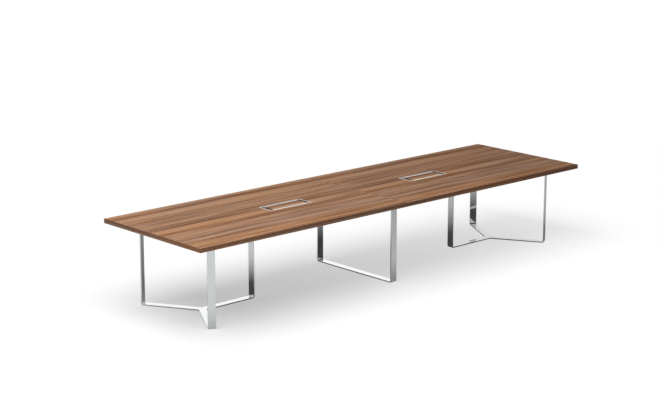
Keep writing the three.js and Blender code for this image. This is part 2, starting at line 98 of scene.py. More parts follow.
# %% Camera
CAMERA_PLACE = Vector((-10.319, -11.007, 4.283))
CAMERA_HEADING = math.radians(47.715)  # from +X towards +Y
CAMERA_DIP = math.radians(13.547)  # below the horizon
SENSOR_WIDTH = 36.0  # millimetres, as Blender wants it
FOCAL_LENGTH = 96.97

camera = bpy.data.objects.new("camera", bpy.data.cameras.new("camera"))
camera.data.sensor_width = SENSOR_WIDTH
camera.data.lens = FOCAL_LENGTH
camera.location = CAMERA_PLACE
camera.rotation_euler = (math.radians(90) - CAMERA_DIP, 0.0, CAMERA_HEADING - math.radians(90))
scene.collection.objects.link(camera)
scene.camera = camera
scene.view_settings.view_transform = "Standard"
print("camera:", round((CAMERA_PLACE - (cad_low + cad_high) / 2).length, 2), "m from the table's middle")

# %% [markdown]
# ## Colours and nodes
# Paint charts and pictures give colours as sRGB hex values, but a shader works in linear light, so one
# function converts them. A material is a small graph of nodes. Adding each by hand takes three or four
# lines, so one function adds a node with its settings, and sets or links its inputs. Every material
# starts the same way, with a name and one shader, so that has a function too.

# %% Colour and node helpers
def linear(hex_colour):
    """An sRGB hex colour as linear RGBA."""
    shares = [int(hex_colour[i : i + 2], 16) / 255 for i in (1, 3, 5)]
    return tuple(s / 12.92 if s <= 0.04045 else ((s + 0.055) / 1.055) ** 2.4 for s in shares) + (1.0,)


def fill(tree, node, inputs):
    """Sets a node's inputs. A socket is linked, and so is a node, by its first output."""
    for name, value in inputs.items():
        if isinstance(value, bpy.types.Node):
            value = value.outputs[0]
        if isinstance(value, bpy.types.NodeSocket):
            tree.links.new(value, node.inputs[name])
        else:
            node.inputs[name].default_value = value


def add_node(tree, kind, inputs, stops=(), **settings):
    """Adds a node with its settings, its inputs and, on a colour ramp, its stops."""
    node = tree.nodes.new("ShaderNode" + kind)
    for name, value in settings.items():
        setattr(node, name, value)
    fill(tree, node, inputs)
    for index, (place, colour) in enumerate(stops):
        stop = node.color_ramp.elements[index] if index < 2 else node.color_ramp.elements.new(place)
        stop.position = place
        stop.color = linear(colour)
    return node


def new_material(name):
    """A new material, with its node tree and its shader."""
    material = bpy.data.materials.new(name)
    material.use_nodes = True
    return material, material.node_tree, material.node_tree.nodes["Principled BSDF"]


print("mid grey #808080 is", round(linear("#808080")[0], 3), "in linear light")

# %% [markdown]
# ## Soft light
# A white dome lights the table from all round, and one very wide lamp hangs high off its left end, a
# little to the front. The lamp does most of the work: the top grows darker from left to right as the
# picture shows, the left end is lighter than the front edge, and the lamp's width makes the shadow on
# the floor so soft that no leg draws a line. A small lamp would give hard shadows, and one lower down
# would brighten the edges first. Seen in the chrome, the dome is as white as the background.
#
# A bright card stands behind the table for the chrome alone. The bars along the floor mirror it towards
# the camera, and they are the whitest things in the picture.

# %% Soft light
WHITE = "#FFFFFF"
DOME_LIGHT = 0.15
LAMP_PLACE = Vector((-5.0, -1.3, 7.5))
LAMP_SIZE = 9.0  # metres along each side
LAMP_POWER = 790.0  # watts
CARD_PLACE = Vector((3.9, 5.9, 2.1))
CARD_SIZE = (4.2, 2.4)
CARD_POWER = 14.0


def rays_seen(tree):
    """Two outputs: one gives 1 on rays from the camera, the other on rays mirrored or refracted."""
    path = add_node(tree, "LightPath", {})
    bent = {0: path.outputs["Is Glossy Ray"], 1: path.outputs["Is Transmission Ray"]}
    return path.outputs["Is Camera Ray"], add_node(tree, "Math", bent, operation="MAXIMUM").outputs[0]


def add_lamp(name, place, aim, size, power):
    """A flat lamp that the camera cannot see, facing the way it is aimed."""
    lamp = bpy.data.objects.new(name, bpy.data.lights.new(name, "AREA"))
    lamp.data.shape = "RECTANGLE"
    lamp.data.size, lamp.data.size_y = size
    lamp.data.energy = power
    lamp.location = place
    lamp.rotation_euler = aim.to_track_quat("-Z", "Y").to_euler()
    lamp.visible_camera = False
    scene.collection.objects.link(lamp)
    return lamp


world = bpy.data.worlds.new("white_dome")
world.use_nodes = True
scene.world = world
dome = world.node_tree
dome_rays = add_node(dome, "Math", dict(enumerate(rays_seen(dome))), operation="MAXIMUM")
dome_level = add_node(dome, "MapRange", {"Value": dome_rays, "To Min": DOME_LIGHT, "To Max": 1.0})
fill(dome, dome.nodes["Background"], {"Color": linear(WHITE), "Strength": dome_level})

add_lamp("overhead_lamp", LAMP_PLACE, Vector((0.0, 0.0, -1.0)), (LAMP_SIZE, LAMP_SIZE), LAMP_POWER)
card = add_lamp("card_for_chrome", CARD_PLACE, -CARD_PLACE, CARD_SIZE, CARD_POWER)
card.visible_diffuse = False
print("light: dome", DOME_LIGHT, "and a lamp of", LAMP_POWER, "W at", LAMP_PLACE[:])

# %% [markdown]
# ## White floor
# The table stands on a seamless white floor that runs into a white background. Lit alone, a floor
# always shows where the light falls off. So this one is part paint and part glow: the paint takes the
# table's shadow, and the glow makes up for what the lamp and the dome leave short of white. The lamp's
# light on the floor falls off smoothly from the spot below it, so a short formula can follow it.
#
# The glow is meant for the camera only, and adds no light to the table. Mirrors see the floor without
# it, as a room would show it: paler paint, with the lamp's light fading over it and the table's shadow
# on it. That draws the dark lower ends of the chromed legs.

# %% White floor
FLOOR_HALF = 60.0
FLOOR_PAINT = "#CFCFCF"
FLOOR_LEVEL = 1.02  # a little over white, so that grain in the render stays white
LAMP_ON_FLOOR = 0.98  # below the lamp, where the dome gives DOME_LIGHT
LAMP_REACH = 11.13  # metres from there over which the lamp's light fades
LAMP_FADE = -2.5  # power of 1 + (distance / reach) squared
MIRRORED_PAINT = 1.02  # how white a mirror sees the paint


def white_floor():
    """Matt white studio floor: no gloss, so that it shows a shadow and no reflection."""
    material, tree, shader = new_material("matt_white_studio_floor")
    camera_rays, bent_rays = rays_seen(tree)
    paint = linear(FLOOR_PAINT)[0]
    seen = {"Value": bent_rays, "To Min": paint, "To Max": MIRRORED_PAINT}
    paint_seen = add_node(tree, "MapRange", seen)
    fill(tree, shader, {"Base Color": paint_seen, "Roughness": 1.0, "Specular IOR Level": 0.0})
    place = add_node(tree, "TexCoord", {}).outputs["Object"]
    below_lamp = Vector((LAMP_PLACE.x, LAMP_PLACE.y, 0.0))
    away = add_node(tree, "VectorMath", {0: place, 1: below_lamp}, operation="DISTANCE").outputs["Value"]
    away = add_node(tree, "Math", {0: away, 1: LAMP_REACH}, operation="DIVIDE")
    squared = add_node(tree, "Math", {0: away, 1: away, 2: 1.0}, operation="MULTIPLY_ADD")
    lamp_light = add_node(tree, "Math", {0: squared, 1: LAMP_FADE}, operation="POWER")
    light = {0: lamp_light, 1: LAMP_ON_FLOOR, 2: DOME_LIGHT}
    light = add_node(tree, "Math", light, operation="MULTIPLY_ADD")
    to_white = add_node(tree, "Math", {0: light, 1: -paint, 2: FLOOR_LEVEL}, operation="MULTIPLY_ADD")
    strength = add_node(tree, "Math", {0: to_white, 1: camera_rays}, operation="MULTIPLY")
    fill(tree, shader, {"Emission Color": linear(WHITE), "Emission Strength": strength})
    return material


floor_mesh = bpy.data.meshes.new("floor")
corners = [(x, y, 0.0) for x, y in ((-1, -1), (1, -1), (1, 1), (-1, 1))]
floor_mesh.from_pydata([FLOOR_HALF * Vector(c) for c in corners], [], [(0, 1, 2, 3)])
floor_mesh.materials.append(white_floor())
floor = bpy.data.objects.new("floor", floor_mesh)
scene.collection.objects.link(floor)
print("floor:", 2 * FLOOR_HALF, "m square, paint", FLOOR_PAINT)

# %% [markdown]
# ## Patterns at real size
# Almost every finish below needs some unevenness: grain, brush lines, the orange peel of paint. Noise
# can draw them all once it is scaled, because a patch of Blender's noise is about one unit across. So
# one helper takes the real size of a patch along each axis and divides the place by it. The place is
# the object's own, so the pattern stays on a lid that swings open.

# %% Noise at real size
NOISE_LOW = 0.25  # most of the noise lies between these two values
NOISE_HIGH = 0.75


def mottle(tree, sizes, detail=2.0, place=None):
    """Noise with patches of the given size along each axis."""
    place = place or add_node(tree, "TexCoord", {}).outputs["Object"]
    scaled = add_node(tree, "Mapping", {"Vector": place, "Scale": [1 / size for size in sizes]})
    return add_node(tree, "TexNoise", {"Vector": scaled, "Scale": 1.0, "Detail": detail})


def spread(tree, value, low, high, from_low=NOISE_LOW, from_high=NOISE_HIGH):
    """A value's range, which is the noise's unless another is given, brought to a new one."""
    ends = {"Value": value, "From Min": from_low, "From Max": from_high, "To Min": low, "To Max": high}
    return add_node(tree, "MapRange", ends)


print("noise: mostly from", NOISE_LOW, "to", NOISE_HIGH)

# %% [markdown]
# ## Walnut board
# The top is board faced with walnut-printed melamine, pressed against an embossed plate while the resin
# was soft. The print gives straight grain along the table: broad bands where the tree grew faster or
# slower, narrow streaks inside them, and short dark pores. Some bands are redder than others. The
# embossing gives a satin surface with fine furrows. A photograph could be wrapped on as a texture, but
# noise drawn out along one axis gives the same figure at any size, and it can be read as numbers.
#
# Both halves are cut from the same printed sheet, so the pattern starts again at the seam.

# %% Walnut grain
BAND_LENGTH = 2400 * MM
BAND_WIDTH = 80 * MM
STREAK_LENGTH = 900 * MM
STREAK_WIDTH = 24 * MM
# Real pores are about 0.2 mm wide and 4 mm long. They are drawn coarser, so that they show.
PORE_LENGTH = 45 * MM
PORE_WIDTH = 1.6 * MM
WANDER_LENGTH = 1500 * MM
WANDER_WIDTH = 300 * MM
WANDER = 16 * MM  # how far a band strays sideways
RED_WIDTH = 2 * BAND_WIDTH
RED_SLICE = 0.3  # sets the noise of the redness apart from that of the bands
# How much each adds to the tone, from a base, and the noise at which a pore begins and is full.
TONE_BASE = 0.037
BAND_WEIGHT = 0.35
STREAK_WEIGHT = 0.6
PORE_WEIGHT = -0.09
PORE_EDGES = (0.58, 0.72)


def walnut_grain(tree, along, across, sheet, fineness=1.0):
    """Four nodes: the tone of the grain, its redness, the furrows of its pores, the way across it."""
    straight = add_node(tree, "CombineXYZ", {"X": along, "Y": across, "Z": sheet}).outputs[0]
    stray = mottle(tree, (WANDER_LENGTH, WANDER_WIDTH * fineness, 1.0), 1.0, straight)
    shift = spread(tree, stray, -WANDER * fineness, WANDER * fineness, 0.0, 1.0)
    bent = add_node(tree, "Math", {0: across, 1: shift}, operation="ADD")
    wavy = add_node(tree, "CombineXYZ", {"X": along, "Y": bent, "Z": sheet}).outputs[0]
    bands = mottle(tree, (BAND_LENGTH, BAND_WIDTH * fineness, 1.0), 2.0, wavy)
    streaks = mottle(tree, (STREAK_LENGTH, STREAK_WIDTH * fineness, 1.0), 3.0, wavy)
    pores = mottle(tree, (PORE_LENGTH, PORE_WIDTH, 1.0), 0.0, wavy)
    redness = mottle(tree, (BAND_LENGTH, RED_WIDTH * fineness, RED_SLICE), 1.0, wavy)
    furrows = spread(tree, pores, 0.0, 1.0, *PORE_EDGES)
    broad = add_node(tree, "Math", {0: bands, 1: BAND_WEIGHT, 2: TONE_BASE}, operation="MULTIPLY_ADD")
    fine = add_node(tree, "Math", {0: streaks, 1: STREAK_WEIGHT, 2: broad}, operation="MULTIPLY_ADD")
    tone = add_node(tree, "Math", {0: furrows, 1: PORE_WEIGHT, 2: fine}, operation="MULTIPLY_ADD")
    return tone, redness, furrows, bent


print("grain: bands", BAND_WIDTH / MM, "mm, streaks", STREAK_WIDTH / MM, "mm, pores", PORE_WIDTH / MM, "mm")

# %% Walnut colours
# Each tone has a grey-brown and a red-brown form, from the dark late wood to the pale early wood.
TONES = (0.32, 0.41, 0.464, 0.505, 0.574)
GREY_WALNUT = list(zip(TONES, ("#6D5041", "#866551", "#99765F", "#A5816A", "#B08F78")))
RED_WALNUT = list(zip(TONES, ("#785036", "#906547", "#A37654", "#AF8160", "#BA8F6E")))
RED_EDGES = (0.35, 0.65)  # the noise at which the colour is all grey-brown and all red-brown


def walnut_colour(tree, tone, redness):
    """The grain's colour, as an output."""
    grey = add_node(tree, "ValToRGB", {"Fac": tone}, stops=GREY_WALNUT)
    red = add_node(tree, "ValToRGB", {"Fac": tone}, stops=RED_WALNUT)
    share = spread(tree, redness, 0.0, 1.0, *RED_EDGES)
    return add_node(tree, "Mix", {0: share, 6: grey, 7: red}, data_type="RGBA").outputs[2]


print("walnut:", len(TONES), "tones, from", GREY_WALNUT[0][1], "to", RED_WALNUT[-1][1])

# %% Walnut board
FURROW = 0.06 * MM  # depth of the embossing
BOARD_SHEET = 45.0  # which stretch of the endless print the board shows
# The darkest streaks run the whole length: where across the table, how wide, how much darker.
DARK_STREAKS = [
    (-610 * MM, 40 * MM, 0.055),
    (-495 * MM, 85 * MM, 0.04),
    (-320 * MM, 95 * MM, 0.03),
    (-145 * MM, 75 * MM, 0.07),
    (35 * MM, 100 * MM, 0.065),
    (350 * MM, 75 * MM, 0.03),
    (545 * MM, 65 * MM, 0.09),
]


def walnut_board():
    """Walnut-printed melamine, pressed: matt, with furrows along the grain."""
    material, tree, shader = new_material("walnut_melamine_pressed")
    place = add_node(tree, "TexCoord", {}).outputs["Object"]
    axes = add_node(tree, "SeparateXYZ", {"Vector": place}).outputs
    along = add_node(tree, "Math", {0: axes["X"], 1: cad_high.x}, operation="FLOORED_MODULO").outputs[0]
    tone, redness, furrows, across = walnut_grain(tree, along, axes["Y"], BOARD_SHEET)
    for middle, width, depth in DARK_STREAKS:
        off = add_node(tree, "Math", {0: across, 1: middle}, operation="SUBTRACT")
        off = add_node(tree, "Math", {0: off}, operation="ABSOLUTE")
        dip = {"Value": off, "From Max": width, "To Min": depth, "To Max": 0.0}
        dip = add_node(tree, "MapRange", dip, interpolation_type="SMOOTHSTEP")
        tone = add_node(tree, "Math", {0: tone, 1: dip}, operation="SUBTRACT")
    bump = add_node(tree, "Bump", {"Height": furrows, "Strength": 0.5, "Distance": FURROW}, invert=True)
    inputs = {
        "Base Color": walnut_colour(tree, tone, redness),
        "Roughness": spread(tree, tone, 0.80, 0.70),
        "Normal": bump,
        "IOR": 1.5,
        "Specular IOR Level": 0.03,
    }
    fill(tree, shader, inputs)
    return material


walnut = walnut_board()
print("walnut board:", len(walnut.node_tree.nodes), "nodes")

# %% [markdown]
# ## Walnut edge band
# The board's cut edges are covered by a 2 mm strip of ABS, extruded, printed with the same walnut and
# glued on. Its walnut is drawn darker than the top's, partly as the strip's own print and partly as
# painted shade for the dimmer light on the upright edges. Its grain runs along each edge, whichever way
# the edge points. One material does for all of them: along a straight edge either X or Y stays the same,
# so their sum measures the way along it.

# %% Walnut edge band
BAND_SHEET = 153.0
BAND_FINENESS = 0.3  # the print is finer, to suit an edge 38 mm high
# Darker in tone than the top: partly the strip's own print, partly painted shade for the upright edges.
BAND_DARKER_WITH_SHADE = 0.112  # in tone


def walnut_edge_band():
    """Printed ABS strip: the top's walnut darker, partly by its print and partly as painted shade, smooth,
    with a dull sheen.
    """
    material, tree, shader = new_material("walnut_abs_strip_print_and_painted_shade")
    place = add_node(tree, "TexCoord", {}).outputs["Object"]
    axes = add_node(tree, "SeparateXYZ", {"Vector": place}).outputs
    along = add_node(tree, "Math", {0: axes["X"], 1: axes["Y"]}, operation="ADD").outputs[0]
    tone, redness, furrows, _ = walnut_grain(tree, along, axes["Z"], BAND_SHEET, BAND_FINENESS)
    # Painted shade: the tone is lowered for the dimmer light on the edges as well as for the print.
    darker = add_node(tree, "Math", {0: tone, 1: BAND_DARKER_WITH_SHADE}, operation="SUBTRACT")
    inputs = {
        "Base Color": walnut_colour(tree, darker, redness),
        "Roughness": spread(tree, furrows, 0.65, 0.75, 0.0, 1.0),
        "IOR": 1.5,
        "Specular IOR Level": 0.12,
    }
    fill(tree, shader, inputs)
    return material


edge_band = walnut_edge_band()
print("edge band: grain", round(BAND_WIDTH * BAND_FINENESS / MM), "mm wide")

# %% [markdown]
# ## Chrome
# The legs are flat steel bar, bent, ground, polished and chrome plated. Chrome is a mirror with a
# slightly cool, greyish tint, so its colour sets how bright a mirror it is and everything else comes
# from what it faces. A mirror that is perfectly flat looks false. Ground bar keeps a faint ripple, and
# wiped chrome keeps a faint haze, and noise gives both.

# %% Chrome
RIPPLE_LENGTH = 55 * MM
RIPPLE_DEPTH = 0.03 * MM
HAZE_PATCH = 40 * MM


def polished_chrome():
    """Chrome-plated steel, polished: a sharp mirror, rippled by grinding and hazed by wiping."""
    material, tree, shader = new_material("chrome_plated_steel_polished")
    ripple = mottle(tree, (RIPPLE_LENGTH,) * 3, 1.0)
    haze = mottle(tree, (HAZE_PATCH,) * 3, 3.0)
    inputs = {
        "Base Color": linear("#C6C8C9"),
        "Metallic": 1.0,
        "Roughness": spread(tree, haze, 0.03, 0.08),
        "Normal": add_node(tree, "Bump", {"Height": ripple, "Strength": 1.0, "Distance": RIPPLE_DEPTH}),
    }
    fill(tree, shader, inputs)
    return material


chrome = polished_chrome()
print("chrome: ripple", round(RIPPLE_DEPTH / MM, 3), "mm deep over", RIPPLE_LENGTH / MM, "mm")

# %% [markdown]
# ## Aluminium profile
# The cable boxes' frames and the rails of their lids are extruded aluminium, anodised in its natural
# colour. Extrusion draws fine lines along the length, and the etching before anodising dulls them to a
# satin. The lines follow the length of each piece, so the material is made twice: for lengths that lie
# along the table and for those across it.

# %% Aluminium profile
# Die lines are about 0.1 mm apart. They are drawn coarser, so that they show.
DIE_LINE = 0.7 * MM
DIE_LINE_LENGTH = 250 * MM
DIE_LINE_DEPTH = 0.008 * MM


def satin_aluminium(axis):
    """Extruded aluminium, etched and anodised: pale satin metal with fine lines along an axis."""
    material, tree, shader = new_material("aluminium_anodised_along_" + axis)
    sizes = [DIE_LINE_LENGTH if name == axis else DIE_LINE for name in "xyz"]
    lines = mottle(tree, sizes, 1.0)
    inputs = {
        "Base Color": add_node(
            tree, "ValToRGB", {"Fac": lines}, stops=[(0.3, "#BAB8B5"), (0.7, "#CBC9C6")]
        ),
        "Metallic": 1.0,
        "Roughness": spread(tree, lines, 0.26, 0.38),
        "Normal": add_node(tree, "Bump", {"Height": lines, "Strength": 0.6, "Distance": DIE_LINE_DEPTH}),
    }
    fill(tree, shader, inputs)
    return material


aluminium = {axis: satin_aluminium(axis) for axis in "xy"}
print("aluminium:", [material.name for material in aluminium.values()])

# %% [markdown]
# ## Small metal parts
# Three more metals appear in small pieces. The hinge rods are drawn steel, bright and lined along their
# length. The screws are zinc plated, with a bluish, cloudy lustre. The contacts are nickel plated, a
# warmer white. They differ only in tint, haze and the size of their unevenness, so one function makes
# them all. The plates and trays are different: their steel is powder coated, and the paint flows into
# the fine waves called orange peel before it sets.

# %% Bright metals
# Drawing lines are about 0.05 mm apart. They are drawn coarser, so that they show.
STEEL_LINE = (60 * MM, 0.5 * MM, 0.5 * MM)
ZINC_CLOUD = (1.5 * MM,) * 3
NICKEL_CLOUD = (2 * MM,) * 3


def bright_metal(name, dark, pale, roughness, patch):
    """A plated or drawn metal: a soft mirror, clouded in patches of the given size."""
    material, tree, shader = new_material(name)
    clouds = mottle(tree, patch, 3.0)
    inputs = {
        "Base Color": add_node(tree, "ValToRGB", {"Fac": clouds}, stops=[(0.3, dark), (0.7, pale)]),
        "Metallic": 1.0,
        "Roughness": spread(tree, clouds, roughness + 0.08, roughness - 0.05),
    }
    fill(tree, shader, inputs)
    return material


drawn_steel = bright_metal("steel_drawn_bright", "#A9A7A3", "#C6C4BF", 0.25, STEEL_LINE)
zinc = bright_metal("zinc_plated_steel", "#AEB3B9", "#D2D6DA", 0.30, ZINC_CLOUD)
nickel = bright_metal("nickel_plated_spring_brass", "#B9B2A4", "#DAD3C4", 0.20, NICKEL_CLOUD)
print("bright metals:", drawn_steel.name, zinc.name, nickel.name)

# %% Black powder coat
ORANGE_PEEL = 1.3 * MM
PEEL_DEPTH = 0.025 * MM
RUB_PATCH = 70 * MM


def black_powder_coat():
    """Polyester powder paint, baked: matt black, with orange peel and a few paler rubbed patches."""
    material, tree, shader = new_material("black_powder_coat_baked")
    peel = mottle(tree, (ORANGE_PEEL,) * 3, 1.0)
    rub = mottle(tree, (RUB_PATCH,) * 3, 4.0)
    inputs = {
        "Base Color": add_node(tree, "ValToRGB", {"Fac": rub}, stops=[(0.35, "#1B1C1E"), (0.75, "#2A2B2D")]),
        "Roughness": spread(tree, rub, 0.62, 0.46),
        "Normal": add_node(tree, "Bump", {"Height": peel, "Strength": 0.8, "Distance": PEEL_DEPTH}),
        "IOR": 1.5,
    }
    fill(tree, shader, inputs)
    return material


powder_coat = black_powder_coat()
print("powder coat: peel", round(ORANGE_PEEL / MM, 2), "mm across")

# %% [markdown]
# ## Plastics, rubber, beech and paper
# The glides and the socket strips are moulded plastic. The mould was spark eroded, which leaves a fine,
# even grain that takes the shine off. The rubber on which a lid comes to rest is extruded, so it is
# smooth along its length, and dull. The dowels that line up the two half tops are turned from beech,
# which shows short dark flecks. They sit inside the board, but the model can be taken apart.
#
# A board that is faced on one side only would warp, so the top has a backing of resin-soaked paper
# underneath. It is pressed like the walnut face, and left plain: matt dark grey, faintly fibrous.

# %% Plastics, rubber, beech and paper
# Spark grain is about 0.1 mm across and paper fibre 0.03 mm. Both are drawn coarser, so that they show.
SPARK_GRAIN = 0.5 * MM
SPARK_DEPTH = 0.02 * MM
CLOUD_PATCH = 15 * MM
RUBBER_LINE = (40 * MM, 1 * MM, 1 * MM)
BEECH_FLECK = (4 * MM, 0.8 * MM, 0.8 * MM)
PAPER_FIBRE = (9 * MM, 2 * MM, 2 * MM)


def moulded_plastic(name, dark, pale, roughness):
    """Moulded plastic from a spark-eroded tool: an even, dull grain and a slight cloudiness."""
    material, tree, shader = new_material(name)
    grain = mottle(tree, (SPARK_GRAIN,) * 3, 1.0)
    clouds = mottle(tree, (CLOUD_PATCH,) * 3, 2.0)
    inputs = {
        "Base Color": add_node(tree, "ValToRGB", {"Fac": clouds}, stops=[(0.3, dark), (0.7, pale)]),
        "Roughness": spread(tree, grain, roughness - 0.06, roughness + 0.08),
        "Normal": add_node(tree, "Bump", {"Height": grain, "Strength": 0.7, "Distance": SPARK_DEPTH}),
        "IOR": 1.53,
    }
    fill(tree, shader, inputs)
    return material


def fibrous(name, dark, pale, roughness, fibre, depth):
    """A dull material with a grain along X: extruded rubber, turned beech or pressed paper."""
    material, tree, shader = new_material(name)
    flecks = mottle(tree, fibre, 2.0)
    inputs = {
        "Base Color": add_node(tree, "ValToRGB", {"Fac": flecks}, stops=[(0.35, dark), (0.65, pale)]),
        "Roughness": spread(tree, flecks, roughness - 0.05, roughness + 0.08),
        "Normal": add_node(tree, "Bump", {"Height": flecks, "Strength": 0.5, "Distance": depth}),
        "IOR": 1.5,
    }
    fill(tree, shader, inputs)
    return material


black_plastic = moulded_plastic("black_polyamide_moulded", "#1D1E20", "#26272A", 0.48)
grey_plastic = moulded_plastic("grey_polycarbonate_moulded", "#5E6165", "#6B6E72", 0.40)
rubber = fibrous("black_epdm_rubber_extruded", "#161617", "#232324", 0.82, RUBBER_LINE, 0.02 * MM)
beech = fibrous("beech_turned", "#B98A5E", "#D6AD80", 0.6, BEECH_FLECK, 0.03 * MM)
backing = fibrous("phenolic_paper_pressed", "#4A4B4C", "#565758", 0.7, PAPER_FIBRE, 0.01 * MM)
finishes = {
    "walnut_board": walnut,
    "walnut_edge_band": edge_band,
    "chromed_flat_bar": chrome,
    "aluminium_profile": aluminium["x"],
    "steel_rod": drawn_steel,
    "black_steel": powder_coat,
    "black_plastic": black_plastic,
    "grey_plastic": grey_plastic,
    "rubber_strip": rubber,
    "beech_dowel": beech,
}
print("finishes:", len(finishes), "for", len(set(slot_of.values())), "slots in the frame")

# %% [markdown]
# ## From shape to piece
# Every piece is drawn as a bmesh, Blender's editable mesh, and then handed to one function. That
# function decides which edges look sharp, smooths the rest, gives the piece its finish, makes it ride
# on its body, and says which CAD nodes it stands for. Weighted normals keep broad faces flat and let
# the narrow rounding between them catch the light.

# %% From shape to piece
CREASE = math.radians(40)


def add_piece(name, shape, slot, body="table", stands_for=(), materials=()):
    """Makes a piece from a bmesh. It takes its finish from the slot unless materials are given."""
    bmesh.ops.recalc_face_normals(shape, faces=shape.faces)
    for face in shape.faces:
        face.smooth = True
    for edge in shape.edges:
        edge.smooth = edge.calc_face_angle(0.0) < CREASE
    mesh = bpy.data.meshes.new(name)
    shape.to_mesh(mesh)
    shape.free()
    for material in materials or (finishes[slot],):
        mesh.materials.append(material)
    piece = bpy.data.objects.new(name, mesh)
    scene.collection.objects.link(piece)
    piece.modifiers.new("even_normals", "WEIGHTED_NORMAL").keep_sharp = True
    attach(piece, body)
    if stands_for:
        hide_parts(*stands_for)
    return piece


print("edges that turn more than", round(math.degrees(CREASE)), "degrees look sharp")

# %% [markdown]
# ## Bent flat bar
# A leg is one flat bar, 65 by 10 mm, that runs along the floor and bends up to the top. In Blender it
# is a sweep: the bar's section, with its rounded arrises, is carried along a line of stations, and each
# ring of points is joined to the next. A curve with a bevel profile would do the same, but the ends
# here need a cut of their own: at the hub three bars meet, each mitred to a point of 120 degrees.

# %% Bar section and sweep
ARRIS_STEPS = 3


def flat_bar_section(width, thickness, arris):
    """A bar's outline as (across, through) points. It passes the middle of each flat side."""
    half_width = width / 2 - arris
    half_thickness = thickness / 2 - arris
    outline = []
    for quarter, (right, up) in enumerate(((1, -1), (1, 1), (-1, 1), (-1, -1))):
        if quarter % 2 == 0:
            outline.append((0.0, up * thickness / 2))
        for step in range(ARRIS_STEPS + 1):
            angle = math.radians(90 * (quarter - 1 + step / ARRIS_STEPS))
            across = right * half_width + arris * math.cos(angle)
            outline.append((across, up * half_thickness + arris * math.sin(angle)))
    return outline


def sweep(shape, place, section, stations, mitre=0.0):
    """Adds a closed bar: the section at each station, which is a point, an inward way and a scale."""
    rings = []
    for point, inward, scale in stations:
        ring = [point + scale * (Vector((0, across, 0)) + through * inward) for across, through in section]
        rings.append(ring)
    for corner in rings[0]:
        corner.x += abs(corner.y) * mitre
    rings = [[shape.verts.new(place @ corner) for corner in ring] for ring in rings]
    count = len(section)
    for here, after in zip(rings, rings[1:]):
        for i in range(count):
            j = (i + 1) % count
            shape.faces.new((here[i], here[j], after[j], after[i]))
    half = count // 2
    for ring in (rings[0], rings[-1]):
        shape.faces.new(ring[: half + 1])
        shape.faces.new(ring[half:] + ring[:1])


BAR_ARRIS = 1 * MM
BAR_THICKNESS = 10 * MM
centre_low, centre_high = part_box("centre_frame")
BAR_WIDTH = centre_high.x - centre_low.x
bar_section = flat_bar_section(BAR_WIDTH, BAR_THICKNESS, BAR_ARRIS)
print("bar:", round(BAR_WIDTH / MM), "by", BAR_THICKNESS / MM, "mm,", len(bar_section), "points round it")

# %% Where the arms stand
# Each arm has a frame of its own: X runs out along the floor from the hub, Z is up.
ARM_LENGTH = 525 * MM  # from the hub to the middle of the upright
BEND_INSIDE = 8 * MM
BEND_STEPS = 16
MITRE = math.tan(math.radians(30))


def middle_of(node_name):
    """The middle of a CAD node's box."""
    low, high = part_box(node_name)
    return (low + high) / 2


def arm_frame(hub, towards):
    """The frame of an arm that leaves the hub towards a point."""
    heading = math.atan2(towards.y - hub.y, towards.x - hub.x)
    return Matrix.Translation(hub) @ Matrix.Rotation(heading, 4, "Z")


arms = {}
for side, inner_end in (("left", 1), ("right", 0)):
    inner_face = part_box(side + "_inner_leg")[inner_end].x
    outwards = math.copysign(ARM_LENGTH + BAR_THICKNESS / 2, inner_face)
    hub = Vector((inner_face + outwards, 0.0, 0.0))
    for leg in ("inner", "front", "rear"):
        name = side + "_" + leg
        arms[name] = (arm_frame(hub, middle_of(name + "_glide")), ARM_LENGTH)
centre_reach = centre_high.y - BAR_THICKNESS / 2
for leg in ("front", "rear"):
    name = "centre_" + leg
    arms[name] = (arm_frame(Vector((0, 0, 0)), middle_of(name + "_glide")), centre_reach)
print("arms:", len(arms), "hub of the left base at x", round(arms["left_inner"][0].translation.x, 3))

# %% Legs
def bend_up(reach):
    """The stations of a bar that comes along the floor and bends up to the top."""
    middle_radius = BEND_INSIDE + BAR_THICKNESS / 2
    floor_line = centre_low.z + BAR_THICKNESS / 2
    centre = Vector((reach - middle_radius, 0.0, floor_line + middle_radius))
    stations = []
    for step in range(BEND_STEPS + 1):
        turn = math.radians(90 * step / BEND_STEPS)
        outward = Vector((math.sin(turn), 0.0, -math.cos(turn)))
        stations.append((centre + middle_radius * outward, -outward, 1.0))
    stations.append((Vector((reach, 0.0, centre_high.z)), Vector((-1, 0, 0)), 1.0))
    return stations


def mirrored(station):
    """The same station on the other side of the middle."""
    point, inward, scale = station
    flip = Vector((-1, 1, 1))
    return point * flip, inward * flip, scale


star_legs = [name for name in arms if not name.startswith("centre")]
for name in star_legs:
    place, reach = arms[name]
    stations = bend_up(reach)
    start = Vector((0.0, 0.0, stations[0][0].z))
    bar = bmesh.new()
    sweep(bar, place, bar_section, [(start, Vector((0, 0, 1)), 1.0)] + stations, MITRE)
    add_piece(name + "_leg_bar", bar, "chromed_flat_bar", stands_for=[name + "_leg"])

place, reach = arms["centre_rear"]
stations = bend_up(reach)
bar = bmesh.new()
sweep(bar, place, bar_section, [mirrored(s) for s in reversed(stations)] + stations)
add_piece("centre_frame_bar", bar, "chromed_flat_bar", stands_for=["centre_frame"])
print("legs:", len(star_legs), "star legs and a centre frame")

# %% [markdown]
# ## Glides
# A plastic disc under each arm keeps the chrome off the floor. Its lower edge is rounded, so that it
# slides, and a groove round its side lets a thin blade lift it off. Round parts like this are turned:
# a profile is spun about an axis. The same function makes screws later, so it can also press the lobes
# of a driver recess into chosen rings of the profile.

# %% Turned parts
LOBES = 6


